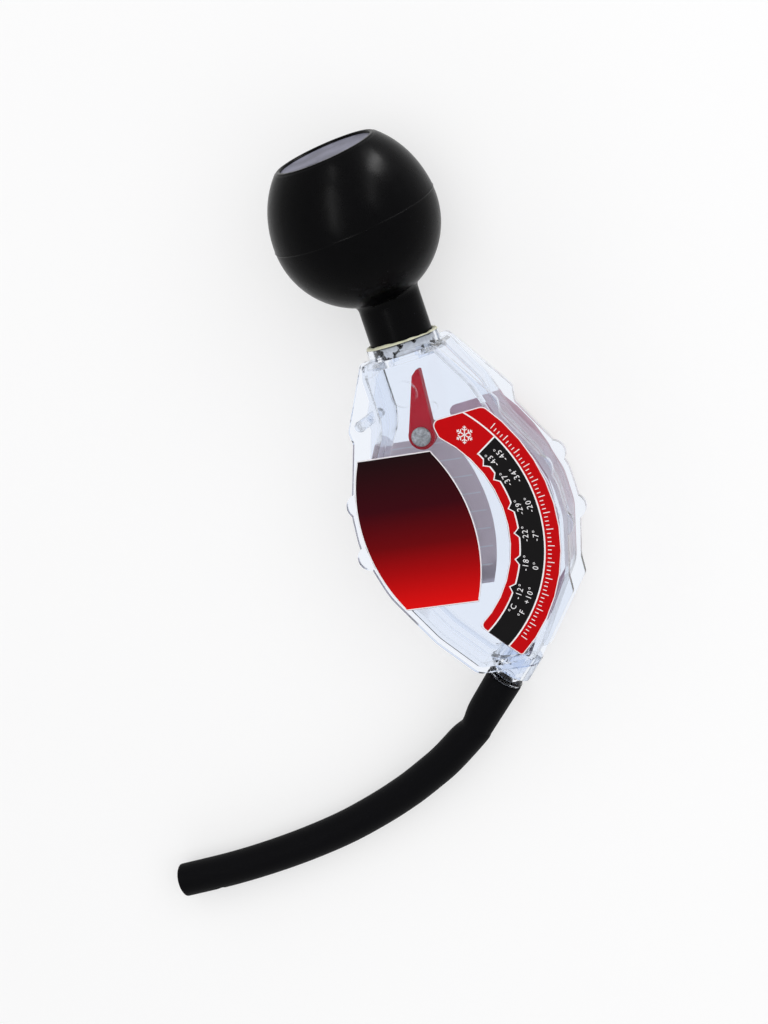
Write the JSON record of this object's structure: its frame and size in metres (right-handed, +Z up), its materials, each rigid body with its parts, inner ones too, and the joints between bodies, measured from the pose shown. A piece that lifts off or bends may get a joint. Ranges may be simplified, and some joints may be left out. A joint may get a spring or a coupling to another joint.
{
  "type": "antifreeze tester",
  "caption": "Hand-held coolant tester: a clear flat chamber with a swinging float pointer and curved dial label, a rubber squeeze bulb on top and a rubber suction hose below.",
  "frame": {"origin": "middle of the footprint on the floor, without the hose, with the tester lying on its back on the bulb and the lower edge of the chamber", "axes": "+Y towards the bulb, +X towards the dial side of the chamber, +Z up, out of the dial face"},
  "size_m": [0.1782, 0.2327, 0.0542],
  "materials": {
    "black_rubber": "satin",
    "grey_disc": "satin",
    "cream_sealant": "satin",
    "clear_plastic": "gloss",
    "badge_film": "gloss",
    "dial_film": "gloss",
    "rear_badge_film": "gloss",
    "rear_dial_film": "gloss",
    "red_plastic": "gloss",
    "pin_steel": "brushed",
    "slug_brass": "plain"
  },
  "bodies": {
    "chamber": {"squeeze_bulb": "black_rubber", "neck_seal_ring": "cream_sealant", "front_shell": "clear_plastic", "rear_shell": "clear_plastic", "front_badge_label": "badge_film", "front_dial_label": "dial_film", "rear_badge_label": "rear_badge_film", "rear_dial_label": "rear_dial_film", "pivot_pin": "pin_steel", "hose_spigot": "clear_plastic", "suction_hose": "black_rubber"},
    "float_pointer": {"pointer": "red_plastic", "pointer_weight": "slug_brass"},
    "bulb_end": {"bulb_end_disc": "grey_disc"}
  },
  "joints": [
    {"name": "pointer_swing", "type": "hinge", "parent": "chamber", "child": "float_pointer", "pos_m": [-0.00533, 0.00104, 0.01774], "axis": [0, 0.069, -0.9976], "range_deg": [-30, 222]},
    {"name": "bulb_press", "type": "slide", "parent": "chamber", "child": "bulb_end", "axis": [0.0412, -0.9696, -0.2412], "range_m": [0, 0.015], "stiffness_N_per_m": 600, "deforming": ["squeeze_bulb"]}
  ]
}
